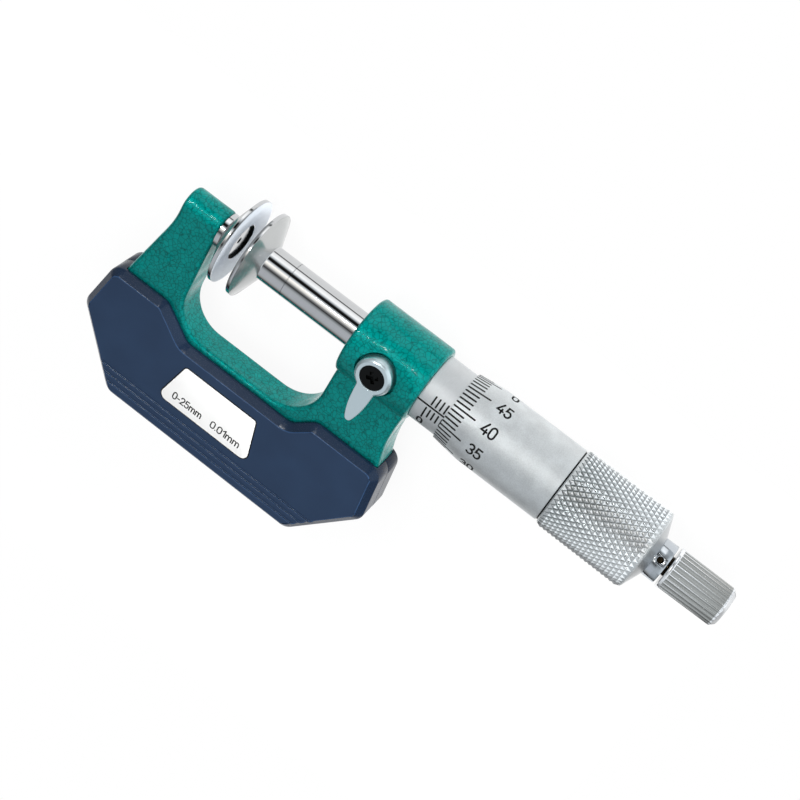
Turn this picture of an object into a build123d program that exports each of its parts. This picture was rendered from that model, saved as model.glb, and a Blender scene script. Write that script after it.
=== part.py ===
from build123d import *
import os

# Disc micrometer lying on its back. Millimetres, +X along the spindle towards the ratchet,
# +Y towards the open side of the U, +Z up out of the front face.
# Lengths along the spindle are read from the anvil's measuring face, heights from the spindle's axis.

# reading shown, and the travel of the screw
reading = 3.87
travel = 25.0

# clearances
running_fit = 0.05
slip_fit = 0.03
seat_gap = 0.1

# discs
disc_r = 10.0
disc_rim = 0.85
disc_edge_chamfer = 0.15
hub_r = 4.0
cone_length = 2.35
anvil_shank_r = 3.0
anvil_shank_length = 6.0
anvil_recess_r = 4.2
anvil_recess_depth = 0.6
anvil_centre_r = 0.7
anvil_centre_depth = 1.0

# frame
web = 7.5
web_edge_r = 0.8
arm_left = -13.65
arm_bend_y = -3.2
arm_bend_r = 22.0
arm_crown_y = 0.45
throat_left = -4.3
throat_right = 30.8
throat_bottom = -25.0
throat_left_r = 8.4
throat_right_r = 9.6
side_left_x = -18.3
side_right_x = 48.7
waist_low = (47.3, -12.8)
waist_high = (48.0, -6.0)
boss_left = 30.6
boss_right = 48.3
boss_r = 8.7
boss_edge_r = 0.8
boss_root_r = 0.6

# covers
cover_half = 6.0
cover_bevel = 1.5
cover_corner_r = 3.2
cover_bottom = -50.0
cover_top_left = -20.5
cover_top_mid = -26.2
cover_top_right = -21.8
cover_left = -20.5
cover_right = 50.4
cover_left_corner = (-23.5, -33.4)
cover_right_corner = (51.9, -34.8)
cover_bottom_x = (-10.3, 39.1)
cover_shoulder_x = (-6.9, 33.1)
cover_throat_x = (0.8, 28.4)
cover_lip = 2.0
cover_side_wall = 2.3
cover_corner_shift = 1.0
groove_pitch = 1.72
groove_width = 0.7
groove_depth = 0.3
groove_count = 3
groove_length = 90.0
first_groove_y = -43.0
screw_seats = [(-12.3, -33.0), (13.7, -44.0), (40.7, -33.0)]
cover_screw_r = 1.1
cover_screw_head_r = 2.1
cover_screw_head_h = 1.2
cover_screw_length = 10.7
cover_screw_seat_depth = 1.4
screw_slot_depth = 0.5

# range plate
plate_top_y = -30.0
plate_top_x = (3.55, 22.55)
plate_bottom_y = -40.85
plate_bottom_x = (0.55, 25.0)
plate_top_r = 0.9
plate_bottom_r = 1.7
plate_thickness = 0.5
plate_recess = 0.35
plate_gap = 0.18

# spindle, its key and its coupling
spindle_r = 4.0
spindle_hub_length = 9.05
spindle_end = 58.1
keyway_width = 1.6
keyway_depth = 1.0
key_setback = 5.9
key_r = 0.7
ball_r = 1.0
ball_pocket = 3.8
nose_r = 2.6
nose_length = 1.25
neck_r = 1.9
coupling_length = 2.0
coupling_bore = 2.25
coupling_play = 0.05
neck_relief = 0.6

# stem and scale sleeve
sleeve_r = 7.35
sleeve_wall = 0.75
sleeve_cover = 3.35
stem_seat = 4.2
stem_play = 2.43
nut_length = 10.0
nut_nose_r = 5.6
nut_taper = 1.0
nut_slit_width = 0.6
nut_slit_length = 8.0
nut_slit_inner = 2.6
adjuster_r = 7.0
adjuster_length = 6.0
adjuster_setback = 1.4
adjuster_slots = 4
adjuster_slot_depth = 0.6
adjuster_slot_width = 1.6
screw_r = 3.0
zero_setback = 2.55
mark_lead = 0.18
sleeve_hole_r = 0.8
sleeve_hole_setback = 1.6

# thimble
thimble_play = 0.1
thimble_edge_r = 7.75
thimble_cone = 6.2
thimble_r = 8.5
thimble_length = 48.67
thimble_end_wall = 5.57
thimble_tail = 1.62
grip_length = 20.8
grip_front_r = 9.1
grip_rear_r = 9.25
grip_wall = 0.7
grip_edge = 0.3
grip_relief_width = 0.3
grip_relief_depth = 0.1

# ratchet
collar_r = 4.35
collar_length = 2.9
collar_hole_r = 0.7
collar_hole_x = 1.25
collar_hole_angle = 53.3
collar_shank_r = 3.4
collar_shank_length = 2.8
stem_post_r = 2.2
stem_post_length = 4.9
knob_gap = 0.6
knob_r = 4.68
knob_flute_r = 4.5
knob_flute_depth = 0.27
knob_flute_hollow_r = 0.6
knob_edge = 0.2
knob_flange = 0.8
knob_length = 13.7
knob_end_dome = 0.9
knob_end_taper = 0.1
knob_flutes = 24
knob_front_wall = 1.2
knob_cavity_r = 3.4
knob_cavity_end = 11.6
retainer_r = 3.0
retainer_thickness = 0.6
clutch_teeth = 12
clutch_tooth = 0.5
clutch_thickness = 1.2
clutch_gap_width = 0.7
spring_play = 0.4
spring_wall = 0.6

# lock
lock_setback = 8.4
lever_top = 10.0
lever_tail_bottom = 9.0
hub_lower = 7.0
lever_hub_r = 4.1
lever_hub_chamfer = 0.55
lever_recess_r = 4.65
lever_recess_floor = 6.7
lever_reach = 12.0
lever_tail = [(2.1, -2.6), (1.95, -5.6), (1.5, -9.0), (0.7, -11.6)]
lock_head_r = 2.7
lock_head_depth = 1.3
lock_head_sink = 0.15
lock_drive_angle = 30
lock_screw_r = 1.3
lock_screw_length = 1.6
stud_r = 1.9
stud_bottom = 5.2
shoe_thickness = 1.1
shoe_gap = 0.03
drive_cross = 2.6
drive_width = 0.6
lock_drive_width = 0.8
drive_depth = 0.7

# lengths that follow from the ones above
lock_x = boss_left + lock_setback
sleeve_zero = boss_right + zero_setback
sleeve_end = sleeve_zero + travel + sleeve_cover
sleeve_hole_x = boss_right + sleeve_hole_setback
thimble_edge = sleeve_zero + reading + mark_lead
thimble_end = thimble_edge + thimble_length
grip_end = thimble_length - thimble_tail
grip_start = grip_end - grip_length
thimble_cavity = thimble_length - thimble_end_wall
stem_start = boss_right - stem_seat
stem_end = thimble_edge - reading + thimble_cavity - stem_play
nut_start = stem_end - nut_length
adjuster_end = stem_end - adjuster_setback
adjuster_start = adjuster_end - adjuster_length
key_x = spindle_end - key_setback
ball_seat = spindle_end - ball_pocket
collar_end = thimble_end + collar_length
knob_start = collar_end + knob_gap
knob_end = knob_start + knob_length
spindle_bore_r = spindle_r + running_fit
sleeve_bore_r = sleeve_r - sleeve_wall
stem_r = sleeve_bore_r - slip_fit
thimble_bore_r = sleeve_r + thimble_play
grip_seat_r = grip_front_r - grip_wall
nose_start = ball_seat + 2 * ball_r + coupling_play
nose_end = nose_start + nose_length
half_web = web / 2


def cover_profile():
    """Outline of one cover, seen from the front, with its corners rounded."""
    with BuildSketch() as outline:
        with BuildLine():
            Polyline(
                (cover_left, cover_top_left),
                cover_left_corner,
                (cover_bottom_x[0], cover_bottom),
                (cover_bottom_x[1], cover_bottom),
                cover_right_corner,
                (cover_right, cover_top_right),
                (cover_shoulder_x[1], cover_top_right),
                (cover_throat_x[1], cover_top_mid),
                (cover_throat_x[0], cover_top_mid),
                (cover_shoulder_x[0], cover_top_left),
                close=True,
            )
        make_face()
        fillet(outline.vertices(), cover_corner_r)
    return outline.sketch


cover_face = cover_profile()
x_mid = (cover_face.bounding_box().min.X + knob_end) / 2
y_mid = (cover_bottom + disc_r) / 2
axis_height = disc_r
spindle_axis = Axis((-x_mid, -y_mid, axis_height), (1, 0, 0))


def level(z):
    """Plane parallel to the front face, z above the spindle's axis."""
    return Plane(origin=(-x_mid, -y_mid, axis_height + z))


def across(x):
    """Plane square to the spindle at x, its x towards the opening and its y up."""
    return Plane(origin=(x - x_mid, -y_mid, axis_height), x_dir=(0, 1, 0), z_dir=(1, 0, 0))


lengthwise = Plane(origin=(-x_mid, -y_mid, axis_height), x_dir=(1, 0, 0), z_dir=(0, -1, 0))


def turned(points):
    """Face in the lengthwise plane from (x, radius) points, to be revolved about the spindle."""
    with BuildSketch(lengthwise) as profile:
        with BuildLine():
            Polyline(*points, close=True)
        make_face()
    return profile.sketch


def web_outline():
    """Outline of the U with its two sides and the part that the covers hide."""
    with BuildSketch(level(0)) as outline:
        with BuildLine():
            side = FilletPolyline(
                (arm_left, arm_crown_y), (arm_left, arm_bend_y), (side_left_x, cover_top_left),
                radius=arm_bend_r,
            )
            low = Polyline(
                side @ 1,
                (cover_left_corner[0] + cover_side_wall, cover_left_corner[1]),
                (cover_bottom_x[0] + cover_corner_shift, cover_bottom + cover_lip),
                (cover_bottom_x[1] - cover_corner_shift, cover_bottom + cover_lip),
                (cover_right_corner[0] - cover_side_wall, cover_right_corner[1]),
                (side_right_x, cover_top_right),
            )
            waist = ThreePointArc(low @ 1, waist_low, waist_high)
            top = Polyline(
                waist @ 1, (throat_right, waist_high[1]), (throat_right, throat_bottom + throat_right_r))
            right = TangentArc(
                top @ 1, (throat_right - throat_right_r, throat_bottom), tangent=(0, -1)
            )
            floor = Line(right @ 1, (throat_left + throat_left_r, throat_bottom))
            left = TangentArc(floor @ 1, (throat_left, throat_bottom + throat_left_r), tangent=(-1, 0))
            inner = Line(left @ 1, (throat_left, arm_crown_y))
            Line(inner @ 1, side @ 0)
        make_face()
    return outline.sketch


with BuildPart() as frame:
    extrude(web_outline(), amount=half_web, both=True)
    # rounded end of the anvil arm
    with BuildSketch(across(throat_left)):
        with BuildLine():
            crown = CenterArc((arm_crown_y, 0), half_web, -90, 180)
            Line(crown @ 1, crown @ 0)
        make_face()
    extrude(amount=arm_left - throat_left)
    front_rim = frame.faces().sort_by(Axis.Z)[-1].edges()
    back_rim = frame.faces().sort_by(Axis.Z)[0].edges()
    crown_rim = frame.edges().filter_by(GeomType.CIRCLE).filter_by(
        lambda e: abs(e.radius - half_web) < 0.01)
    fillet(front_rim + back_rim + crown_rim, web_edge_r)
    # spindle boss
    with BuildSketch(lengthwise):
        with BuildLine():
            Polyline((boss_left, 0), (boss_left, boss_r), (boss_right, boss_r), (boss_right, 0), close=True)
        make_face()
        fillet(vertices().sort_by(Axis.Y)[-2:], boss_edge_r)
    revolve(axis=spindle_axis)
    boss_root = frame.edges().filter_by(Axis.X).filter_by(
        lambda e: boss_left < (e @ 0.5).X + x_mid < boss_right and -boss_r < (e @ 0.5).Y + y_mid < 0)
    fillet(boss_root, boss_root_r)
    # bores for the anvil, the spindle and the stem
    with BuildSketch(across(throat_left)):
        Circle(anvil_shank_r)
    extrude(amount=-anvil_shank_length, mode=Mode.SUBTRACT)
    with BuildSketch(across(boss_left)):
        Circle(spindle_bore_r)
    extrude(amount=boss_right - boss_left, mode=Mode.SUBTRACT)
    with BuildSketch(across(boss_right)):
        Circle(stem_r)
    extrude(amount=stem_start - boss_right, mode=Mode.SUBTRACT)
    # seat and threaded hole of the lock
    with BuildSketch(level(lever_recess_floor)):
        with Locations((lock_x, 0)):
            Circle(lever_recess_r)
    extrude(amount=boss_r, mode=Mode.SUBTRACT)
    with BuildSketch(level(0)):
        with Locations((lock_x, 0)):
            Circle(stud_r + running_fit)
    extrude(amount=boss_r, mode=Mode.SUBTRACT)
    # holes for the cover screws
    with BuildSketch(level(-half_web)):
        with Locations(*screw_seats):
            Circle(cover_screw_r + seat_gap)
    extrude(amount=web, mode=Mode.SUBTRACT)
frame.part.label = "frame"


def cover_shell(side):
    """One cover: side 1 is the front one, side -1 the rear one."""
    extrude(level(0) * cover_face, amount=side * cover_half)
    outer = faces().sort_by(Axis.Z)[-1 if side > 0 else 0]
    chamfer(outer.edges(), cover_bevel)
    extrude(web_outline(), amount=side * half_web, mode=Mode.SUBTRACT)


def plate_outline(gap):
    """Outline of the range plate on the cover's flat face, drawn in by the gap round it."""
    with BuildSketch(level(cover_half)) as outline:
        with BuildLine():
            Polyline(
                (plate_top_x[0], plate_top_y),
                (plate_top_x[1], plate_top_y),
                (plate_bottom_x[1], plate_bottom_y),
                (plate_bottom_x[0], plate_bottom_y),
                close=True,
            )
        make_face()
        fillet(vertices().sort_by(Axis.Y)[-2:], plate_top_r)
        fillet(vertices().sort_by(Axis.Y)[:2], plate_bottom_r)
        offset(amount=-gap)
    return outline.sketch


with BuildPart() as front_cover:
    cover_shell(1)
    for n in range(groove_count):
        with BuildSketch(level(cover_half)):
            with Locations((screw_seats[1][0], first_groove_y - n * groove_pitch)):
                Rectangle(groove_length, groove_width)
        extrude(amount=-groove_depth, mode=Mode.SUBTRACT)
    extrude(plate_outline(0), amount=-plate_recess, mode=Mode.SUBTRACT)
    with BuildSketch(level(half_web)):
        with Locations(*screw_seats):
            Circle(cover_screw_r)
    extrude(amount=cover_screw_seat_depth, mode=Mode.SUBTRACT)
front_cover.part.label = "front_cover"

with BuildPart() as range_plate:
    extrude(plate_outline(plate_gap), amount=-plate_recess)
    extrude(plate_outline(plate_gap), amount=plate_thickness - plate_recess)
range_plate.part.label = "range_plate"

with BuildPart() as rear_cover:
    cover_shell(-1)
    with BuildSketch(level(-cover_half)):
        with Locations(*screw_seats):
            Circle(cover_screw_head_r + seat_gap)
    extrude(amount=cover_screw_head_h, mode=Mode.SUBTRACT)
    with BuildSketch(level(-cover_half)):
        with Locations(*screw_seats):
            Circle(cover_screw_r + seat_gap)
    extrude(amount=cover_half - half_web, mode=Mode.SUBTRACT)
rear_cover.part.label = "rear_cover"

with BuildPart() as cover_screws:
    with BuildSketch(level(cover_screw_head_h - cover_half)):
        with Locations(*screw_seats):
            Circle(cover_screw_head_r)
    extrude(amount=-cover_screw_head_h)
    with BuildSketch(level(cover_screw_head_h - cover_half)):
        with Locations(*screw_seats):
            Circle(cover_screw_r)
    extrude(amount=cover_screw_length - cover_screw_head_h)
    with BuildSketch(level(-cover_half)):
        with Locations(*screw_seats):
            Rectangle(drive_cross, drive_width)
            Rectangle(drive_width, drive_cross)
    extrude(amount=screw_slot_depth, mode=Mode.SUBTRACT)
cover_screws.part.label = "cover_screws"


def disc_profile(face, side, reach):
    """Half profile of a measuring disc: side 1 has its back towards the ratchet."""
    back = face + side * disc_rim
    foot = back + side * cone_length
    return [
        (face, 0),
        (face, disc_r - disc_edge_chamfer),
        (face + side * disc_edge_chamfer, disc_r),
        (back, disc_r),
        (foot, hub_r),
        (reach, hub_r),
        (reach, 0),
    ]


with BuildPart() as anvil_disc:
    revolve(turned(disc_profile(0, -1, throat_left)), axis=spindle_axis)
    with BuildSketch(across(throat_left)):
        Circle(anvil_shank_r)
    extrude(amount=-anvil_shank_length)
    with BuildSketch(across(0)):
        Circle(anvil_recess_r)
    extrude(amount=-anvil_recess_depth, mode=Mode.SUBTRACT)
    with BuildSketch(across(-anvil_recess_depth)):
        Circle(anvil_centre_r)
    extrude(amount=-anvil_centre_depth, mode=Mode.SUBTRACT)
anvil_disc.part.label = "anvil_disc"

with BuildPart() as spindle_disc:
    revolve(turned(disc_profile(reading, 1, reading + spindle_hub_length)), axis=spindle_axis)
    with BuildSketch(across(reading)):
        Circle(anvil_recess_r)
    extrude(amount=anvil_recess_depth, mode=Mode.SUBTRACT)
spindle_disc.part.label = "spindle_disc"

with BuildPart() as spindle:
    with BuildSketch(across(reading + spindle_hub_length)):
        Circle(spindle_r)
    extrude(amount=spindle_end - reading - spindle_hub_length)
    # pocket for the ball and the screw's nose
    with BuildSketch(across(spindle_end)):
        Circle(nose_r + seat_gap)
    extrude(amount=ball_seat - spindle_end, mode=Mode.SUBTRACT)
    # keyway along the underside, open at the rear
    slot_start = key_x - (travel - reading) - key_r - seat_gap
    with BuildSketch(level(-spindle_r)):
        with Locations(((slot_start + spindle_end) / 2, 0)):
            Rectangle(spindle_end - slot_start, keyway_width)
    extrude(amount=keyway_depth, mode=Mode.SUBTRACT)
spindle.part.label = "spindle"

with BuildPart() as thrust_ball:
    with Locations(across(ball_seat + ball_r)):
        Sphere(ball_r)
thrust_ball.part.label = "thrust_ball"

with BuildPart() as coupling_ring:
    with BuildSketch(across(spindle_end)):
        Circle(spindle_r)
        Circle(coupling_bore, mode=Mode.SUBTRACT)
    extrude(amount=coupling_length)
coupling_ring.part.label = "coupling_ring"

with BuildPart() as stem:
    revolve(turned([
        (stem_start, 0), (stem_start, stem_r), (nut_start - nut_taper, stem_r), (nut_start, nut_nose_r),
        (stem_end, nut_nose_r), (stem_end, 0),
    ]), axis=spindle_axis)
    with BuildSketch(across(stem_start)):
        Circle(spindle_bore_r)
    extrude(amount=nut_start - stem_start, mode=Mode.SUBTRACT)
    with BuildSketch(across(nut_start)):
        Circle(screw_r + running_fit)
    extrude(amount=stem_end - nut_start, mode=Mode.SUBTRACT)
    with BuildSketch(level(-stem_r)):
        with Locations((key_x, 0)):
            Circle(key_r)
    extrude(amount=stem_r, mode=Mode.SUBTRACT)
    # slits that let the adjusting nut close the thread
    for angle in (0, 120, 240):
        with BuildSketch(across(stem_end).rotated((0, 0, angle))):
            with Locations(((nut_nose_r + nut_slit_inner) / 2, 0)):
                Rectangle(nut_nose_r - nut_slit_inner, nut_slit_width)
        extrude(amount=-nut_slit_length, mode=Mode.SUBTRACT)
stem.part.label = "stem"

with BuildPart() as guide_key:
    with BuildSketch(level(-stem_r)):
        with Locations((key_x, 0)):
            Circle(key_r)
    extrude(amount=stem_r - spindle_r + keyway_depth - seat_gap)
guide_key.part.label = "guide_key"

with BuildPart() as scale_sleeve:
    with BuildSketch(across(boss_right)):
        Circle(sleeve_r)
        Circle(sleeve_bore_r, mode=Mode.SUBTRACT)
    extrude(amount=sleeve_end - boss_right)
    with BuildSketch(level(-sleeve_r)):
        with Locations((sleeve_hole_x, 0)):
            Circle(sleeve_hole_r)
    extrude(amount=sleeve_wall + seat_gap, mode=Mode.SUBTRACT)
scale_sleeve.part.label = "scale_sleeve"

with BuildPart() as adjusting_nut:
    with BuildSketch(across(adjuster_start)):
        Circle(adjuster_r)
        Circle(nut_nose_r, mode=Mode.SUBTRACT)
        with PolarLocations(adjuster_r, adjuster_slots):
            Rectangle(2 * adjuster_slot_depth, adjuster_slot_width, mode=Mode.SUBTRACT)
    extrude(amount=adjuster_end - adjuster_start)
adjusting_nut.part.label = "adjusting_nut"

with BuildPart() as measuring_screw:
    shoulder = thimble_edge + thimble_cavity
    neck_end = spindle_end + coupling_length + neck_relief
    revolve(turned([
        (nose_start, 0), (nose_start, nose_r), (nose_end, nose_r), (nose_end, neck_r),
        (neck_end, neck_r), (neck_end, screw_r), (shoulder, screw_r), (shoulder, collar_shank_r),
        (thimble_end - collar_shank_length, collar_shank_r), (thimble_end - collar_shank_length, 0),
    ]), axis=spindle_axis)
measuring_screw.part.label = "measuring_screw"

with BuildPart() as thimble:
    relief_r = grip_seat_r - grip_relief_depth
    revolve(turned([
        (thimble_edge, thimble_bore_r),
        (thimble_edge, thimble_edge_r),
        (thimble_edge + thimble_cone, thimble_r),
        (thimble_edge + grip_start - grip_relief_width, thimble_r),
        (thimble_edge + grip_start - grip_relief_width, relief_r),
        (thimble_edge + grip_start, relief_r),
        (thimble_edge + grip_start, grip_seat_r),
        (thimble_edge + grip_end, grip_seat_r),
        (thimble_end, collar_r),
        (thimble_end, collar_shank_r),
        (thimble_edge + thimble_cavity, collar_shank_r),
        (thimble_edge + thimble_cavity, thimble_bore_r),
    ]), axis=spindle_axis)
thimble.part.label = "thimble"

with BuildPart() as thimble_grip:
    grip_slope = (grip_seat_r - collar_r) / (thimble_length - grip_end)
    revolve(turned([
        (thimble_edge + grip_start, grip_seat_r),
        (thimble_edge + grip_start, grip_front_r - grip_edge),
        (thimble_edge + grip_start + grip_edge, grip_front_r),
        (thimble_edge + grip_end - (grip_rear_r - grip_seat_r) / grip_slope, grip_rear_r),
        (thimble_edge + grip_end, grip_seat_r),
    ]), axis=spindle_axis)
thimble_grip.part.label = "thimble_grip"

with BuildPart() as ratchet_collar:
    revolve(turned([
        (thimble_end - collar_shank_length, 0), (thimble_end - collar_shank_length, collar_shank_r),
        (thimble_end, collar_shank_r), (thimble_end, collar_r), (collar_end, collar_r),
        (collar_end, stem_post_r), (knob_start + stem_post_length, stem_post_r),
        (knob_start + stem_post_length, 0),
    ]), axis=spindle_axis)
    # hole for the pin spanner
    with BuildSketch(Plane(
        origin=spindle_axis.position + Vector(thimble_end + collar_hole_x, 0, 0),
        x_dir=(1, 0, 0),
        z_dir=Vector(0, 1, 0).rotate(Axis.X, collar_hole_angle),
    )):
        Circle(collar_hole_r)
    extrude(amount=2 * collar_r, mode=Mode.SUBTRACT)
ratchet_collar.part.label = "ratchet_collar"

with BuildPart() as ratchet_knob:
    revolve(turned([
        (knob_start, 0), (knob_start, knob_r - knob_edge), (knob_start + knob_edge, knob_r),
        (knob_start + knob_flange, knob_r), (knob_start + knob_flange, knob_flute_r),
        (knob_end - knob_end_dome, knob_flute_r - knob_end_taper),
        (knob_end, knob_flute_r - knob_end_taper - knob_end_dome), (knob_end, 0),
    ]), axis=spindle_axis)
    with BuildSketch(across(knob_start + knob_flange)):
        with PolarLocations(knob_flute_r - knob_flute_depth + knob_flute_hollow_r, knob_flutes):
            Circle(knob_flute_hollow_r)
    extrude(amount=knob_length, mode=Mode.SUBTRACT)
    with BuildSketch(across(knob_start)):
        Circle(stem_post_r + running_fit)
    extrude(amount=knob_front_wall, mode=Mode.SUBTRACT)
    with BuildSketch(across(knob_start + knob_front_wall)):
        Circle(knob_cavity_r)
    extrude(amount=knob_cavity_end - knob_front_wall, mode=Mode.SUBTRACT)
ratchet_knob.part.label = "ratchet_knob"

with BuildPart() as ratchet_retainer:
    with BuildSketch(across(knob_start + knob_front_wall + seat_gap)):
        Circle(retainer_r)
        Circle(stem_post_r, mode=Mode.SUBTRACT)
    extrude(amount=retainer_thickness)
ratchet_retainer.part.label = "ratchet_retainer"


def round_face(x, radius):
    """Disc square to the spindle at x."""
    with BuildSketch(across(x)) as disc:
        Circle(radius)
    return disc.sketch


def tooth_gaps(x, radius):
    """Radial slots that leave the clutch teeth standing at x."""
    with BuildSketch(across(x)) as gaps:
        with PolarLocations(radius, clutch_teeth):
            Rectangle(radius, clutch_gap_width)
    return gaps.sketch


wheel_face = knob_start + stem_post_length + clutch_thickness
with BuildPart() as ratchet_wheel:
    extrude(round_face(wheel_face, retainer_r), amount=-clutch_thickness)
    extrude(tooth_gaps(wheel_face, retainer_r), amount=-clutch_tooth, mode=Mode.SUBTRACT)
ratchet_wheel.part.label = "ratchet_wheel"

clutch_face = wheel_face + seat_gap
with BuildPart() as ratchet_clutch:
    extrude(round_face(clutch_face, knob_cavity_r), amount=clutch_thickness)
    extrude(tooth_gaps(clutch_face, knob_cavity_r), amount=clutch_tooth, mode=Mode.SUBTRACT)
ratchet_clutch.part.label = "ratchet_clutch"

with BuildPart() as ratchet_spring:
    spring_start = clutch_face + clutch_thickness
    with BuildSketch(across(spring_start)):
        Circle(knob_cavity_r - spring_play)
        Circle(knob_cavity_r - spring_play - spring_wall, mode=Mode.SUBTRACT)
    extrude(amount=knob_start + knob_cavity_end - spring_start)
ratchet_spring.part.label = "ratchet_spring"

with BuildPart() as lock_stud:
    with BuildSketch(level(stud_bottom)):
        with Locations((lock_x, 0)):
            Circle(stud_r)
    extrude(amount=lever_top - lock_head_depth - stud_bottom)
    with BuildSketch(level(lever_top - lock_head_depth)):
        with Locations((lock_x, 0)):
            Circle(lock_screw_r)
    extrude(amount=-lock_screw_length, mode=Mode.SUBTRACT)
lock_stud.part.label = "lock_stud"

with BuildPart() as lock_lever:
    with BuildSketch(level(hub_lower)):
        with Locations((lock_x, 0)):
            Circle(lever_hub_r)
    extrude(amount=lever_top - hub_lower)
    chamfer(faces().sort_by(Axis.Z)[-1].edges(), lever_hub_chamfer)
    with BuildSketch(level(lever_tail_bottom)):
        with BuildLine():
            right = Spline(*[(lock_x + half, y) for half, y in lever_tail])
            left = Spline(*[(lock_x - half, y) for half, y in lever_tail])
            ThreePointArc(right @ 1, (lock_x, -lever_reach), left @ 1)
            Line(left @ 0, right @ 0)
        make_face()
    extrude(amount=lever_top - lever_tail_bottom)
    with BuildSketch(level(lever_top)):
        with Locations((lock_x, 0)):
            Circle(lock_head_r + running_fit)
    extrude(amount=-lock_head_depth, mode=Mode.SUBTRACT)
    with BuildSketch(level(hub_lower)):
        with Locations((lock_x, 0)):
            Circle(stud_r)
    extrude(amount=lever_top - hub_lower, mode=Mode.SUBTRACT)
lock_lever.part.label = "lock_lever"

with BuildPart() as lock_screw:
    with BuildSketch(level(lever_top - lock_head_depth)):
        with Locations((lock_x, 0)):
            Circle(lock_head_r)
    extrude(amount=lock_head_depth - lock_head_sink)
    with BuildSketch(level(lever_top - lock_head_depth)):
        with Locations((lock_x, 0)):
            Circle(lock_screw_r)
    extrude(amount=-lock_screw_length)
    with BuildSketch(level(lever_top - lock_head_sink)):
        with Locations(Location((lock_x, 0), lock_drive_angle)):
            Rectangle(drive_cross, lock_drive_width)
            Rectangle(lock_drive_width, drive_cross)
    extrude(amount=-drive_depth, mode=Mode.SUBTRACT)
lock_screw.part.label = "lock_screw"

with BuildPart() as lock_shoe:
    with BuildSketch(level(spindle_r + shoe_gap)):
        with Locations((lock_x, 0)):
            Circle(stud_r)
    extrude(amount=shoe_thickness)
lock_shoe.part.label = "lock_shoe"

os.makedirs("parts", exist_ok=True)
export_step(frame.part, "parts/frame.step")
export_step(front_cover.part, "parts/front_cover.step")
export_step(rear_cover.part, "parts/rear_cover.step")
export_step(cover_screws.part, "parts/cover_screws.step")
export_step(range_plate.part, "parts/range_plate.step")
export_step(anvil_disc.part, "parts/anvil_disc.step")
export_step(spindle_disc.part, "parts/spindle_disc.step")
export_step(spindle.part, "parts/spindle.step")
export_step(thrust_ball.part, "parts/thrust_ball.step")
export_step(coupling_ring.part, "parts/coupling_ring.step")
export_step(stem.part, "parts/stem.step")
export_step(guide_key.part, "parts/guide_key.step")
export_step(scale_sleeve.part, "parts/scale_sleeve.step")
export_step(adjusting_nut.part, "parts/adjusting_nut.step")
export_step(measuring_screw.part, "parts/measuring_screw.step")
export_step(thimble.part, "parts/thimble.step")
export_step(thimble_grip.part, "parts/thimble_grip.step")
export_step(ratchet_collar.part, "parts/ratchet_collar.step")
export_step(ratchet_knob.part, "parts/ratchet_knob.step")
export_step(ratchet_retainer.part, "parts/ratchet_retainer.step")
export_step(ratchet_wheel.part, "parts/ratchet_wheel.step")
export_step(ratchet_clutch.part, "parts/ratchet_clutch.step")
export_step(ratchet_spring.part, "parts/ratchet_spring.step")
export_step(lock_stud.part, "parts/lock_stud.step")
export_step(lock_lever.part, "parts/lock_lever.step")
export_step(lock_screw.part, "parts/lock_screw.step")
export_step(lock_shoe.part, "parts/lock_shoe.step")
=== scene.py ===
import math

import bmesh
import bpy
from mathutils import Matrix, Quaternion, Vector


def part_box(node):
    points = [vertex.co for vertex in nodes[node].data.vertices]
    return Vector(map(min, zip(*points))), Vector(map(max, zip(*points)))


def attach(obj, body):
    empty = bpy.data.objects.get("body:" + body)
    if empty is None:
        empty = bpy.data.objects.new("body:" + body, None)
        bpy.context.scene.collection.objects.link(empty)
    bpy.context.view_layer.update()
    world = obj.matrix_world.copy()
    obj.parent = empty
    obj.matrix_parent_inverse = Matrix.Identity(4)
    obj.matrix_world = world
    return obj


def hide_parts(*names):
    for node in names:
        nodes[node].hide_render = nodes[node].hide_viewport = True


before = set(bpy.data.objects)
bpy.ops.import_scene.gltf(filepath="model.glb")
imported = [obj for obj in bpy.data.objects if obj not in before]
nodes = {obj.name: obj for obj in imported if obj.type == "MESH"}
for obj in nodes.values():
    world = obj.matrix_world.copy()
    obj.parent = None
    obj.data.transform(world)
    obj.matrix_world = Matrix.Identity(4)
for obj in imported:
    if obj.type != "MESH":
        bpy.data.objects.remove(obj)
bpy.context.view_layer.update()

# The tool's own frame, in millimetres: x along the spindle from the anvil's measuring face,
# y towards the open side of the U, z out of the front face, both from the spindle's axis.
READING = 3.87
AXIS_Y = 20.0
AXIS_Z = 10.0
FACE_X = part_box("spindle_disc")[0].x * 1000 - READING


def place(x, y, z):
    """Row frame, in metres, of a point in the tool's frame."""
    return Vector((x + FACE_X, y + AXIS_Y, z + AXIS_Z)) / 1000


def around(x, angle, radius):
    """Point at that angle about the spindle, from the open side towards the front."""
    return place(x, radius * math.cos(angle), radius * math.sin(angle))


# Materials

def new_material(name):
    material = bpy.data.materials.new(name)
    material.use_nodes = True
    tree = material.node_tree
    return material, tree, tree.nodes["Principled BSDF"]


def add(tree, kind, inputs=(), **settings):
    """A node with its settings, and its inputs linked from sockets or set to numbers."""
    node = tree.nodes.new("ShaderNode" + kind)
    for key, value in settings.items():
        setattr(node, key, value)
    for key, value in dict(inputs).items():
        if isinstance(value, bpy.types.NodeSocket):
            tree.links.new(value, node.inputs[key])
        else:
            node.inputs[key].default_value = value
    return node


def calc(tree, operation, *values):
    """Result of a math node on sockets or numbers."""
    return add(tree, "Math", dict(enumerate(values)), operation=operation).outputs["Value"]


def coordinate(tree, kind, axis):
    """One component of a texture coordinate."""
    return add(tree, "SeparateXYZ", {"Vector": add(tree, "TexCoord").outputs[kind]}).outputs[axis]


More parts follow.
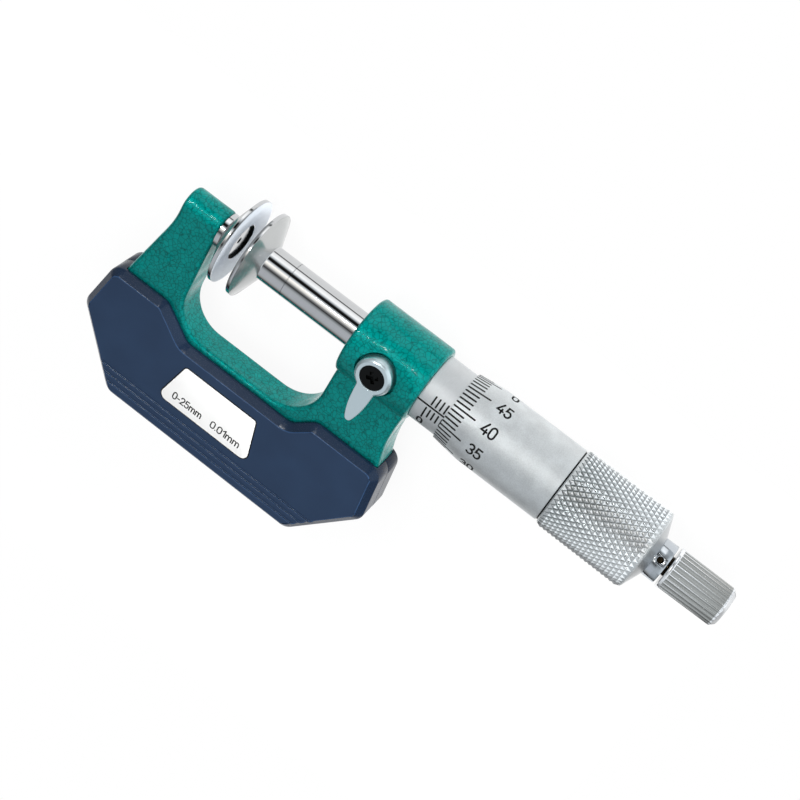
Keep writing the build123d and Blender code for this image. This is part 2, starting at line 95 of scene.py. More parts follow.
def ramp(tree, factor, stops):
    """Colour that follows a factor, by (position, colour) stops."""
    node = add(tree, "ValToRGB", {"Fac": factor})
    elements = node.color_ramp.elements
    while len(elements) < len(stops):
        elements.new(0.5)
    for element, (position, color) in zip(elements, stops):
        element.position = position
        element.color = (*color, 1)
    return node.outputs["Color"]


def grey(value):
    return (value, value, value)


def noise(tree, scale, detail=3.0, stretch=(1, 1, 1), roughness=0.5):
    """Noise over the object's own coordinates, in cells to the metre."""
    coords = add(tree, "TexCoord").outputs["Object"]
    vector = add(tree, "Mapping", {"Vector": coords, "Scale": stretch}).outputs["Vector"]
    return add(tree, "TexNoise", {
        "Vector": vector, "Scale": scale, "Detail": detail, "Roughness": roughness,
    }).outputs["Fac"]


def from_axis(tree):
    """Distance from the spindle's axis, in metres."""
    coords = add(tree, "TexCoord").outputs["Object"]
    axis = (0, AXIS_Y / 1000, AXIS_Z / 1000)
    offset = add(tree, "VectorMath", {0: coords, 1: axis}, operation="SUBTRACT").outputs["Vector"]
    across = add(tree, "VectorMath", {0: offset, 1: (0, 1, 1)}, operation="MULTIPLY").outputs["Vector"]
    return add(tree, "VectorMath", {0: across}, operation="LENGTH").outputs["Value"]


def spread_over(tree, value, low, high, first=0.35, last=0.65):
    """The value's span from first to last, mapped from low to high."""
    return add(tree, "MapRange", {
        "Value": value, "From Min": first, "From Max": last, "To Min": low, "To Max": high,
    }).outputs["Result"]


def multiply(tree, first, second):
    """Product of two colour sockets."""
    node = tree.nodes.new("ShaderNodeMix")
    node.data_type = "RGBA"
    node.blend_type = "MULTIPLY"
    node.inputs[0].default_value = 1.0
    tree.links.new(first, node.inputs[6])
    tree.links.new(second, node.inputs[7])
    return node.outputs[2]


def bump(tree, height, distance, strength=1.0):
    return add(tree, "Bump", {"Height": height, "Distance": distance, "Strength": strength}).outputs["Normal"]


def metal(name, color, roughness, spread=0.05, grain=9000.0, stretch=(1, 1, 1), depth=2e-6, anisotropic=0.0,
          shaded_hollows=None, tint=0.03, metallic=1.0):
    """Bare or plated metal: a grain that changes roughness and tone a little, and a fine bump.

    shaded_hollows paints shade into the grooves below the worn tips, as (radius of the full shade, radius of
    the unshaded tips, colour, x past which nothing is shaded).
    """
    material, tree, shader = new_material(name)
    shader.inputs["Metallic"].default_value = metallic
    fine = noise(tree, grain, 4.0, stretch, 0.6)
    cloud = noise(tree, 260.0)
    half = calc(tree, "MULTIPLY", calc(tree, "ADD", fine, cloud), 0.5)
    low = tuple(c * (1 - tint) for c in color)
    high = tuple(min(1.0, c * (1 + tint)) for c in color)
    tone = ramp(tree, half, [(0.35, low), (0.65, high)])
    if shaded_hollows:
        bottom, top, hollow_shade, end = shaded_hollows
        height = spread_over(tree, from_axis(tree), 0.0, 1.0, bottom / 1000, top / 1000)
        past = calc(tree, "GREATER_THAN", coordinate(tree, "Object", "X"), place(end, 0, 0).x)
        height = calc(tree, "MAXIMUM", height, past)
        # Painted shade: the colour darkens towards the bottom of the grooves.
        tone = multiply(tree, tone, ramp(tree, height, [(0.0, hollow_shade), (1.0, grey(1.0))]))
    tree.links.new(tone, shader.inputs["Base Color"])
    rough = spread_over(tree, half, max(0.01, roughness - spread), roughness + spread)
    tree.links.new(rough, shader.inputs["Roughness"])
    tree.links.new(bump(tree, fine, depth), shader.inputs["Normal"])
    if anisotropic:
        shader.inputs["Anisotropic"].default_value = anisotropic
        shader.inputs["Anisotropic Rotation"].default_value = 0.25
        tangent = add(tree, "Tangent", direction_type="RADIAL", axis="X")
        tree.links.new(tangent.outputs["Tangent"], shader.inputs["Tangent"])
    return material


# Size of the enamel's cells, in metres.
CELL = 0.00095


def enamel():
    """Crackle enamel with metal in it, under a glassy wavy coat.

    Its cells differ slightly in tone, and a fine dark net parts them.
    """
    material, tree, shader = new_material("frame_enamel")
    coords = add(tree, "TexCoord").outputs["Object"]
    warp = add(tree, "TexNoise", {"Vector": coords, "Scale": 0.6 / CELL, "Detail": 2.0}).outputs["Color"]
    bent = add(tree, "VectorMath", {0: warp, "Scale": CELL * 0.8}, operation="SCALE").outputs["Vector"]
    moved = add(tree, "VectorMath", {0: coords, 1: bent}, operation="ADD").outputs["Vector"]
    cells = {"Vector": moved, "Scale": 1 / CELL}
    edge = add(tree, "TexVoronoi", cells, feature="DISTANCE_TO_EDGE").outputs["Distance"]
    cell = add(tree, "TexVoronoi", cells, feature="F1").outputs["Color"]
    net = ramp(tree, edge, [(0.0, grey(0.42)), (0.05, grey(0.78)), (0.11, grey(1.0))])
    tone = ramp(tree, cell, [(0.1, (0.0, 0.325, 0.296)), (0.9, (0.0, 0.385, 0.350))])
    patch = ramp(tree, noise(tree, 380.0), [(0.3, grey(0.86)), (0.7, grey(1.0))])
    tree.links.new(multiply(tree, multiply(tree, tone, patch), net), shader.inputs["Base Color"])
    shader.inputs["Metallic"].default_value = 0.85
    shader.inputs["Roughness"].default_value = 0.55
    shader.inputs["Specular IOR Level"].default_value = 0.0
    shader.inputs["Coat Weight"].default_value = 1.0
    shader.inputs["Coat Roughness"].default_value = 0.05
    shader.inputs["Coat IOR"].default_value = 1.2
    crack = spread_over(tree, edge, -0.012, 0.0, 0.0, 0.1)
    waves = calc(tree, "ADD", noise(tree, 230.0, 1.0), crack)
    tree.links.new(bump(tree, waves, 5e-4), shader.inputs["Coat Normal"])
    tree.links.new(bump(tree, edge, 2e-5), shader.inputs["Normal"])
    return material


SLOPE_ROUGHNESS = 0.24


def moulded(name, low, high, roughness, slopes=1.0, edges=1.0):
    """Moulded plastic with a fine spark texture on its flats, smoother on the slopes.

    Painted shade: the slopes' tone is multiplied by slopes. A painted highlight multiplies the tone of the
    edges between a flat and a slope by edges.
    """
    material, tree, shader = new_material(name)
    grain = noise(tree, 5200.0)
    low, high = (tuple(c * edges for c in color) for color in (low, high))
    tone = ramp(tree, noise(tree, 120.0, 2.0), [(0.3, low), (0.7, high)])
    facing = calc(tree, "ABSOLUTE", coordinate(tree, "Normal", "Z"))
    # Painted shade on the slopes and a painted highlight on the edges, chosen by the way the face points.
    shaded_slope, highlit_edge, on_flat = (grey(level / edges) for level in (slopes, edges, 1.0))
    shade = ramp(tree, facing, [
        (0.0, shaded_slope), (0.78, shaded_slope), (0.86, highlit_edge), (0.95, highlit_edge), (0.985, on_flat)])
    tree.links.new(multiply(tree, tone, shade), shader.inputs["Base Color"])
    shader.inputs["Specular IOR Level"].default_value = 0.3
    flat = spread_over(tree, facing, 0.0, 1.0, 0.93, 0.99)
    even = spread_over(tree, flat, SLOPE_ROUGHNESS, roughness, 0.0, 1.0)
    rough = calc(tree, "ADD", spread_over(tree, grain, -0.05, 0.05), even)
    tree.links.new(rough, shader.inputs["Roughness"])
    tree.links.new(bump(tree, grain, 8e-6, 0.5), shader.inputs["Normal"])
    return material


def ink(name, color):
    """Dull paint in cut lines."""
    material, tree, shader = new_material(name)
    grain = noise(tree, 7000.0, 2.0)
    lighter = tuple(c * 1.6 + 0.004 for c in color)
    tree.links.new(ramp(tree, grain, [(0.35, color), (0.7, lighter)]), shader.inputs["Base Color"])
    shader.inputs["Roughness"].default_value = 0.7
    shader.inputs["Specular IOR Level"].default_value = 0.2
    tree.links.new(bump(tree, grain, 3e-6), shader.inputs["Normal"])
    return material


STEEL = (0.60, 0.61, 0.62)
# The grain that turning leaves: long round the spindle, fine along it.
RINGS = (1, 0.03, 0.03)
KNOB_FLUTES_END = 119.6
TOOL_END = 121.0

frame_enamel = enamel()
# The covers get painted shade on their slopes and a painted highlight along their edges.
cover_plastic = moulded("cover_plastic", (0.0105, 0.0265, 0.062), (0.0125, 0.031, 0.071), 0.42, 0.6, 2.2)
plate_white = moulded("plate_white", (0.87, 0.87, 0.86), (0.91, 0.91, 0.90), 0.35)
polished_steel = metal("polished_steel", STEEL, 0.05, 0.02, stretch=RINGS, depth=6e-7)
turned_steel = metal("turned_steel", STEEL, 0.15, 0.04, stretch=RINGS, depth=1.5e-6, anisotropic=0.85)
cone_steel = metal("cone_steel", (0.50, 0.51, 0.51), 0.17, stretch=RINGS, anisotropic=0.85, metallic=0.88)
lapped_steel = metal("lapped_steel", (0.74, 0.78, 0.83), 0.45, 0.04, metallic=0.4)
shaded_steel = metal("shaded_steel", (0.012, 0.012, 0.012), 0.5)
sleeve_chrome = metal(
    "sleeve_chrome", (0.77, 0.79, 0.80), 0.58, grain=4500.0, stretch=(1, 0.3, 0.3), depth=1e-5, tint=0.06)
thimble_chrome = metal("thimble_chrome", (0.80, 0.83, 0.84), 0.54, 0.06, grain=3800.0, depth=4e-5, tint=0.12)
turned_chrome = metal("turned_chrome", (0.60, 0.62, 0.63), 0.32, stretch=RINGS, anisotropic=0.85)
# Painted shade in the grooves of the knurl and the collar, and in the knob's flutes.
knurl_chrome = metal(
    "knurl_chrome", (0.94, 0.96, 0.97), 0.13, 0.04, metallic=0.9,
    shaded_hollows=(8.68, 8.94, (0.18, 0.21, 0.205), TOOL_END))
collar_chrome = metal(
    "collar_chrome", (0.58, 0.62, 0.66), 0.16, shaded_hollows=(4.1, 4.3, (0.05, 0.035, 0.02), TOOL_END))
knob_chrome = metal(
    "knob_chrome", (0.88, 0.90, 0.92), 0.12, 0.03, metallic=0.85,
    shaded_hollows=(4.41, 4.5, (0.42, 0.42, 0.40), KNOB_FLUTES_END))
lever_nickel = metal("lever_nickel", (0.78, 0.91, 0.95), 0.38, 0.06)
plain_steel = metal("plain_steel", (0.45, 0.45, 0.45), 0.3)
black_steel = metal("black_steel", (0.014, 0.015, 0.015), 0.26, 0.08)
lock_brass = metal("lock_brass", (0.7, 0.52, 0.25), 0.3)
# Black ink for the printed marks, also used for the painted shadow round the plate.
black_ink_and_painted_shadow = ink("black_ink_and_painted_shadow", (0.004, 0.004, 0.004))

FINISHES = {
    frame_enamel: ("frame",),
    cover_plastic: ("front_cover", "rear_cover"),
    collar_chrome: ("ratchet_collar",),
    knob_chrome: ("ratchet_knob",),
    lever_nickel: ("lock_lever",),
    black_steel: ("lock_screw", "cover_screws"),
    lock_brass: ("lock_shoe",),
    plain_steel: (
        "stem", "guide_key", "adjusting_nut", "measuring_screw", "coupling_ring", "thrust_ball",
        "lock_stud", "ratchet_wheel", "ratchet_clutch", "ratchet_spring", "ratchet_retainer",
    ),
}
for material, names in FINISHES.items():
    for name in names:
        for holder in nodes[name].material_slots:
            holder.material = material


def soften(name, width, clamped=False):
    """Rounds a kept solid's edges by modifiers. The width is in millimetres."""
    piece = nodes[name]
    piece.modifiers.new("weld", "WELD").merge_threshold = 1e-6
    edge = piece.modifiers.new("edge", "BEVEL")
    edge.width = width / 1000
    edge.segments = 2
    edge.limit_method = "ANGLE"
    edge.angle_limit = math.radians(35)
    edge.harden_normals = True
    edge.use_clamp_overlap = clamped


for name, width in {
    "front_cover": 0.16, "rear_cover": 0.16, "lock_lever": 0.12,
    "lock_screw": 0.12, "ratchet_knob": 0.04, "ratchet_collar": 0.06, "cover_screws": 0.08,
}.items():
    soften(name, width)
soften("frame", 0.3, True)


# Pieces

def finish_piece(name, bm, materials, body, smooth_angle=30.0):
    """The mesh as an object that rides on a body, smooth but for edges over that angle."""
    bmesh.ops.remove_doubles(bm, verts=bm.verts, dist=1e-7)
    bmesh.ops.recalc_face_normals(bm, faces=bm.faces)
    mesh = bpy.data.meshes.new(name)
    bm.to_mesh(mesh)
    bm.free()
    for polygon in mesh.polygons:
        polygon.use_smooth = True
    mesh.set_sharp_from_angle(angle=math.radians(smooth_angle))
    for material in materials:
        mesh.materials.append(material)
    piece = bpy.data.objects.new(name, mesh)
    bpy.context.scene.collection.objects.link(piece)
    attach(piece, body)
    return piece


TURN_STEPS = 256


def lathe(name, sections, body, smooth_angle=30.0):
    """Closed outline turned about the spindle's axis, as (material, [(x, radius), ...]) runs.

    The face that leads to a point has the material of that point's run.
    """
    bm = bmesh.new()
    materials = list(dict.fromkeys(material for material, points in sections))
    rings, finish = [], []
    for material, points in sections:
        for x, radius in points:
            count = 1 if radius < 1e-6 else TURN_STEPS
            rings.append([bm.verts.new(around(x, math.tau * n / TURN_STEPS, radius)) for n in range(count)])
            finish.append(materials.index(material))
    for a, b, index in zip(rings, rings[1:] + rings[:1], finish[1:] + finish[:1]):
        for n in range(TURN_STEPS):
            corners = [a[n % len(a)], a[(n + 1) % len(a)], b[(n + 1) % len(b)], b[n % len(b)]]
            face = list(dict.fromkeys(corners))
            if len(face) > 2:
                bm.faces.new(face).material_index = index
    return finish_piece(name, bm, materials, body, smooth_angle)


DISC_R, RIM, CONE = 10.0, 0.85, 2.35
RECESS_R, RECESS_DEPTH, CENTRE_R, CENTRE_DEPTH = 4.2, 0.6, 0.7, 1.0
SPINDLE_R, SPINDLE_END = 4.0, 58.1
SPINDLE_BORE_R, SPINDLE_BORE_START = 2.7, 54.3
HUB_END = READING + 9.05
HUB_CHAMFER = 0.07
# Chamfers and rounds that only the light shows.
EDGE = 0.1


def measuring_disc(name, face, side, reach, pocket, body):
    """Disc with a lapped face, a recess, a polished rim and a turned cone up to its hub."""
    back = face + side * RIM
    return lathe(name, [
        (turned_steel, pocket + [(face + side * RECESS_DEPTH, RECESS_R - 0.02)]),
        (shaded_steel, [(face + side * EDGE, RECESS_R)]),
        (polished_steel, [(face, RECESS_R + EDGE)]),
        (lapped_steel, [(face, DISC_R - EDGE)]),
        (polished_steel, [
            (face + side * EDGE * 0.3, DISC_R - EDGE * 0.3), (face + side * EDGE, DISC_R),
            (back - side * EDGE * 0.5, DISC_R), (back, DISC_R - EDGE * 0.5)]),
        (cone_steel, [(back + side * CONE, SPINDLE_R + 0.06)]),
        (polished_steel, [(back + side * (CONE + EDGE), SPINDLE_R), (reach, SPINDLE_R)]),
        (turned_steel, [(reach, 0)]),
    ], body)


centre_floor = -RECESS_DEPTH - CENTRE_DEPTH
anvil_pocket = [
    (centre_floor, 0), (centre_floor, CENTRE_R),
    (-RECESS_DEPTH - 0.06, CENTRE_R), (-RECESS_DEPTH, CENTRE_R + 0.06),
]
THROAT_LEFT = -4.3
anvil = measuring_disc("anvil_disc_turned", 0, -1, THROAT_LEFT, anvil_pocket, "frame_body")
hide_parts("anvil_disc")
moving = measuring_disc(
    "spindle_disc_turned", READING, 1, HUB_END - 0.03, [(READING + RECESS_DEPTH, 0)], "spindle_body")
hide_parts("spindle_disc")

rod = lathe("spindle_rod", [(polished_steel, [
    (HUB_END, 0), (HUB_END, SPINDLE_R - HUB_CHAMFER), (HUB_END + HUB_CHAMFER, SPINDLE_R),
    (SPINDLE_END - EDGE, SPINDLE_R), (SPINDLE_END, SPINDLE_R - EDGE),
    (SPINDLE_END, SPINDLE_BORE_R), (SPINDLE_BORE_START, SPINDLE_BORE_R), (SPINDLE_BORE_START, 0),
])], "spindle_body")
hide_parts("spindle")

SLEEVE_R, SLEEVE_BORE_R = 7.35, 6.6
SLEEVE_START, SLEEVE_END = 48.3, 79.2
# The thimble's graduated edge, and what follows it along the spindle.
EDGE_X = 54.9
CONE_END = EDGE_X + 6.2
GRIP_X = EDGE_X + 26.25
BORE_END = EDGE_X + 43.1
GRIP_END = EDGE_X + 47.05
THIMBLE_END = EDGE_X + 48.67
THIMBLE_EDGE_R, THIMBLE_R, THIMBLE_BORE_R = 7.75, 8.5, 7.45
GRIP_SEAT_R, TAIL_R, TAIL_BORE_R = 8.4, 4.5, 3.4
# The groove in front of the grip.
GROOVE_R, GROOVE_WIDTH = 8.2, 0.28
sleeve = lathe("scale_sleeve_plated", [(sleeve_chrome, [
    (SLEEVE_START, SLEEVE_BORE_R), (SLEEVE_START, SLEEVE_R - 0.08), (SLEEVE_START + 0.08, SLEEVE_R),
    (SLEEVE_END - EDGE, SLEEVE_R), (SLEEVE_END, SLEEVE_R - EDGE), (SLEEVE_END, SLEEVE_BORE_R),
])], "frame_body")
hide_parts("scale_sleeve")

thimble = lathe("thimble_barrel", [
    (thimble_chrome, [
        (EDGE_X, THIMBLE_BORE_R), (EDGE_X, THIMBLE_EDGE_R - 0.05), (EDGE_X + 0.05, THIMBLE_EDGE_R),
        (CONE_END, THIMBLE_R), (GRIP_X - 0.4, THIMBLE_R), (GRIP_X - 0.3, THIMBLE_R - 0.08)]),
    (shaded_steel, [(GRIP_X - GROOVE_WIDTH, GROOVE_R), (GRIP_X, GROOVE_R)]),
    (thimble_chrome, [(GRIP_X, GRIP_SEAT_R), (GRIP_END, GRIP_SEAT_R)]),
    (turned_chrome, [(THIMBLE_END - 0.06, TAIL_R), (THIMBLE_END, TAIL_R - EDGE)]),
    (thimble_chrome, [(THIMBLE_END, TAIL_BORE_R), (BORE_END, TAIL_BORE_R), (BORE_END, THIMBLE_BORE_R)]),
], "thimble_body", 3.0)
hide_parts("thimble")


def knurl():
    """Diamond-knurled band: pyramids with worn tips in staggered rows, and plain chamfered ends.

    Depth is the pyramids' height, and top their worn tip's share of the diamond.
    """
    around_count, rows, arc_steps = 46, 19, 4
    start, front_r, rear_r = GRIP_X + 0.25, 9.1, 9.25
    slope = (GRIP_SEAT_R - TAIL_R) / (THIMBLE_END - 0.06 - GRIP_END)
    end = GRIP_END - (rear_r - GRIP_SEAT_R) / slope
    half_x = (end - start) / (rows + 1)
    half_turn = math.pi / around_count
    depth, top = 0.42, 0.07
    bm = bmesh.new()

    def at(x, turn, drop):
        radius = front_r + (rear_r - front_r) * (x - start) / (end - start) - drop
        return bm.verts.new(around(x, turn * half_turn, radius))

    corners = ((-1, 0), (0, 1), (1, 0), (0, -1))
    for row in range(1, rows + 1):
        x = start + row * half_x
        for n in range(around_count):
            turn = 2 * n + row % 2
            low = [at(x + dx * half_x, turn + dt, depth) for dx, dt in corners]
            high = [at(x + dx * half_x * top, turn + dt * top, 0) for dx, dt in corners]
            bm.faces.new(high)
            for k in range(4):
                bm.faces.new((low[k], low[(k + 1) % 4], high[(k + 1) % 4], high[k]))
    for row, sign in ((1, -1), (rows, 1)):
        x = start + row * half_x
        for n in range(around_count):
            turn = 2 * n + row % 2
            rim = [at(x + sign * half_x, turn + 2 * k / arc_steps, depth) for k in range(arc_steps + 1)]
            bm.faces.new([at(x, turn + 1, depth)] + rim).material_index = 1
    steps = around_count * arc_steps
    profile = [
        (start, front_r - depth), (start - 0.06, front_r - depth - 0.05), (GRIP_X, GRIP_SEAT_R),
        (GRIP_END, GRIP_SEAT_R), (end + EDGE, rear_r - depth), (end, rear_r - depth),
    ]
    for (x0, r0), (x1, r1) in zip(profile, profile[1:]):
        for n in range(steps):
            a, b = ((2 * m / arc_steps + 1) * half_turn for m in (n, n + 1))
            quad = ((x0, a, r0), (x0, b, r0), (x1, b, r1), (x1, a, r1))
            bm.faces.new([bm.verts.new(around(x, t, r)) for x, t, r in quad]).material_index = 1
    return finish_piece("thimble_knurl", bm, [knurl_chrome, thimble_chrome], "thimble_body", 18.0)


grip = knurl()
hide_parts("thimble_grip")


# Scales, numerals and words

ARC_STEPS = 12


def arc(x, y, rx, ry, first, last):
    """Points on an ellipse's arc, by angles in degrees."""
    angles = [math.radians(first + (last - first) * n / ARC_STEPS) for n in range(ARC_STEPS + 1)]
    return [(x + rx * math.cos(a), y + ry * math.sin(a)) for a in angles]


# Strokes of each character, one unit high; the first number is its width.
OVAL = arc(0.27, 0.7, 0.27, 0.3, 0, 180) + arc(0.27, 0.3, 0.27, 0.3, 180, 360)
GLYPHS = {
    "0": (0.54, [OVAL + OVAL[:1]]),
    "1": (0.3, [[(0.0, 0.76), (0.3, 1.0), (0.3, 0.0)]]),
    "2": (0.54, [arc(0.27, 0.73, 0.26, 0.27, 170, -38) + [(0.0, 0.0), (0.54, 0.0)]]),
    "3": (0.54, [arc(0.25, 0.75, 0.25, 0.25, 150, -90), arc(0.25, 0.25, 0.28, 0.25, 90, -150)]),
    "4": (0.56, [[(0.38, 1.0), (0.0, 0.25), (0.56, 0.25)], [(0.41, 0.46), (0.41, 0.0)]]),
    "5": (0.54, [[(0.49, 1.0), (0.08, 1.0), (0.04, 0.56)] + arc(0.25, 0.31, 0.28, 0.31, 115, -150)]),
    "-": (0.34, [[(0.02, 0.42), (0.32, 0.42)]]),
    ".": (0.06, [[(0.02, 0.02), (0.04, 0.02)]]),
    "m": (0.84, [[(0.02, 0.0), (0.02, 0.66)], arc(0.22, 0.42, 0.2, 0.24, 180, 0) + [(0.42, 0.0)],
                 arc(0.62, 0.42, 0.2, 0.24, 180, 0) + [(0.82, 0.0)]]),
}
GLYPH_GAP = 0.2
# In millimetres: how far the ink stands over its surface and reaches under it, and the lines' width.
INK_TOP, INK_BOTTOM = 0.012, -0.06
LINE = 0.37
LONGEST_STEP = 0.3


def divided(points):
    """The same line in steps short enough to follow a barrel."""
    line = [points[0]]
    for a, b in zip(points, points[1:]):
        count = math.ceil((b - a).length / LONGEST_STEP)
        line += [a.lerp(b, n / count) for n in range(1, count + 1)]
    return line


def stroke(bm, points, width, surface):
    """Bar with round ends along flat points, laid on surface(u, v, height), all in millimetres."""
    half = width / 2
    vectors = divided([Vector(p) for p in points])
    steps = [(b - a).normalized() for a, b in zip(vectors, vectors[1:])]
    sections = []
    for n, point in enumerate(vectors):
        before, after = steps[max(n - 1, 0)], steps[min(n, len(steps) - 1)]
        along = (before + after).normalized()
        reach = half / max(0.5, along.dot(after))
        sections.append((point, Vector((-along.y, along.x)), reach))
    for share in (0.5, 0.87, 0.99):
        slim = half * math.sqrt(1 - share * share)
        first, last = steps[0], steps[-1]
        sections.insert(0, (vectors[0] - first * half * share, Vector((-first.y, first.x)), slim))
        sections.append((vectors[-1] + last * half * share, Vector((-last.y, last.x)), slim))
    rings = []
    for point, side, reach in sections:
        left, right = point + side * reach, point - side * reach
        rings.append([bm.verts.new(surface(p.x, p.y, h)) for p, h in (
            (left, INK_TOP), (right, INK_TOP), (right, INK_BOTTOM), (left, INK_BOTTOM))])
    for a, b in zip(rings, rings[1:]):
        for k in range(4):
            bm.faces.new((a[k], a[(k + 1) % 4], b[(k + 1) % 4], b[k]))
    bm.faces.new(rings[0])
    bm.faces.new(rings[-1][::-1])


def text_width(text, height):
    """Width of the text at that height of its figures."""
    return height * (sum(GLYPHS[c][0] for c in text) + GLYPH_GAP * (len(text) - 1))


def write(bm, text, height, width, surface, left, low, stretch=1.0):
    """Text drawn in strokes from its left end, standing on that height."""
    for character in text:
        advance, strokes = GLYPHS[character]
        for points in strokes:
            stroke(bm, [(left + x * height * stretch, low + y * height) for x, y in points], width, surface)
        left += (advance + GLYPH_GAP) * height * stretch


def on_barrel(radius_at, zero_angle):
    """Surface about the spindle: u along x, v round towards the open side, from an angle in degrees."""
    def surface(u, v, height):
        radius = radius_at(u)
        return around(u, math.radians(zero_angle) - v / radius, radius + height)
    return surface


ZERO_X = 50.85
INDEX_ANGLE = 80.9


def sleeve_scale():
    """Millimetres on one side of the index line and half ones on the other, in degrees from it."""
    bm = bmesh.new()
    surface = on_barrel(lambda x: SLEEVE_R, INDEX_ANGLE)
    degree = math.radians(1) * SLEEVE_R
    near, short, long, figures = (angle * degree for angle in (-5.2, -19.8, -26.5, -47.0))
    half_near, half_far = (angle * degree for angle in (4.2, 18.8))
    size, width = 2.05, 0.44
    stroke(bm, [(48.45, 0), (76.6, 0)], LINE, surface)
    for n in range(26):
        x = ZERO_X + n
        stroke(bm, [(x, near), (x, short if n % 5 else long)], LINE, surface)
        if n < 25:
            stroke(bm, [(x + 0.5, half_near), (x + 0.5, half_far)], LINE, surface)
        if n % 5 == 0:
            write(bm, str(n), size, width, surface, x - text_width(str(n), size) / 2, figures)
    return finish_piece("sleeve_scale", bm, [black_ink_and_painted_shadow], "frame_body")


def thimble_radius(x):
    share = min(max((x - EDGE_X) / (CONE_END - EDGE_X), 0.0), 1.0)
    return THIMBLE_EDGE_R + (THIMBLE_R - THIMBLE_EDGE_R) * share


def thimble_scale():
    """Fifty divisions; the one that stands at the index line shows the reading."""
    bm = bmesh.new()
    at_index, division, start, short, long = 36.4, 7.2, EDGE_X + 0.14, EDGE_X + 3.15, EDGE_X + 5.2
    figures, size, width = 63.6, 2.3, 0.41
    for n in range(50):
        surface = on_barrel(thimble_radius, INDEX_ANGLE - (n - at_index) * division)
        stroke(bm, [(start, 0), (short if n % 5 else long, 0)], LINE, surface)
        if n % 5 == 0:
            write(bm, str(n), size, width, surface, figures - text_width(str(n), size) / 2, -size / 2)
    return finish_piece("thimble_scale", bm, [black_ink_and_painted_shadow], "thimble_body")


# The plate's corners with their radii, in the plane of the cover's face.
PLATE = [((3.55, -30.0), 0.9), ((0.55, -40.85), 1.7), ((25.0, -40.85), 1.7), ((22.55, -30.0), 0.9)]
PLATE_GAP = 0.18
PLATE_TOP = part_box("range_plate")[1].z * 1000 - AXIS_Z
COVER_TOP = 6.0
CORNER_STEPS = 10


def plate_outline(grow):
    """Points of the plate's seat, its corners rounded, moved outwards by that many millimetres."""
    points = []
    for n, (corner, radius) in enumerate(PLATE):
        here = Vector(corner)
        to_last = (Vector(PLATE[n - 1][0]) - here).normalized()
        to_next = (Vector(PLATE[(n + 1) % len(PLATE)][0]) - here).normalized()
        half = to_last.angle(to_next) / 2
        centre = here + (to_last + to_next).normalized() * radius / math.sin(half)
        first = Vector((-to_last.y, to_last.x))
        last = Vector((to_next.y, -to_next.x))
        for k in range(CORNER_STEPS + 1):
            points.append(centre + first.slerp(last, k / CORNER_STEPS) * (radius + grow))
    return points


def plate_ring(bm, grow, height):
    return [bm.verts.new(place(p.x, p.y, height)) for p in plate_outline(grow)]


def bridge(bm, a, b):
    """Faces between two closed rings."""
    for n in range(len(a)):
        bm.faces.new((a[n], a[(n + 1) % len(a)], b[(n + 1) % len(b)], b[n]))


def white_plate():
    """The plate, with a rounded upper edge."""
    bm = bmesh.new()
    levels = [
        (-PLATE_GAP, COVER_TOP - 0.35), (-PLATE_GAP, PLATE_TOP - 0.06),
        (-PLATE_GAP - 0.02, PLATE_TOP - 0.02), (-PLATE_GAP - 0.06, PLATE_TOP),
    ]
    rings = [plate_ring(bm, grow, height) for grow, height in levels]
    for a, b in zip(rings, rings[1:]):
        bridge(bm, a, b)
    bm.faces.new(rings[-1])
    bm.faces.new(rings[0][::-1])
    return finish_piece("white_plate", bm, [plate_white], "frame_body")


def plate_shadow_gap():
    """Dark line: painted shadow in the gap round the plate."""
    bm = bmesh.new()
    bottom, top, outside = COVER_TOP - 0.3, COVER_TOP + 0.01, 0.1
    levels = [(-PLATE_GAP, bottom), (-PLATE_GAP, top), (outside, top), (outside, bottom)]
    rings = [plate_ring(bm, grow, height) for grow, height in levels]
    for a, b in zip(rings, rings[1:] + rings[:1]):
        bridge(bm, a, b)
    return finish_piece("plate_painted_shadow_line", bm, [black_ink_and_painted_shadow], "frame_body")


plate = white_plate()
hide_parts("range_plate")
plate_shadow_gap()


def plate_words():
    """The range and the graduation, each stretched to one length."""
    bm = bmesh.new()
    size, width, length, low = 1.7, 0.28, 7.55, -38.95

    def surface(u, v, height):
        return place(u, v, PLATE_TOP + height)

    for text, left in (("0-25mm", 3.92), ("0.01mm", 14.17)):
        write(bm, text, size, width, surface, left, low, length / text_width(text, size))
    return finish_piece("plate_words", bm, [black_ink_and_painted_shadow], "frame_body")


for marks in (sleeve_scale(), thimble_scale(), plate_words()):
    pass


# Camera, floor and light

# The place, turn and lens at which the tool lies as it does in the photograph.
camera_data = bpy.data.cameras.new("camera")
camera_data.sensor_width = 36.0
camera_data.lens = 81.0
camera_data.clip_start = 0.01
camera = bpy.data.objects.new("camera", camera_data)
camera.location = place(85.553, 209.347, 289.269)
camera.rotation_mode = "QUATERNION"
camera.rotation_quaternion = Quaternion((0.903082, -0.281822, 0.151666, 0.286385))
bpy.context.scene.collection.objects.link(camera)
bpy.context.scene.camera = camera

# The table ends not far from the tool, where the polished steel shows a dark room past it.
TABLE_LOW, TABLE_HIGH, TABLE_Z = Vector((-1.5, -0.1)), Vector((0.0745, 0.043)), -0.0001
FLOOR_GLOW = 0.93


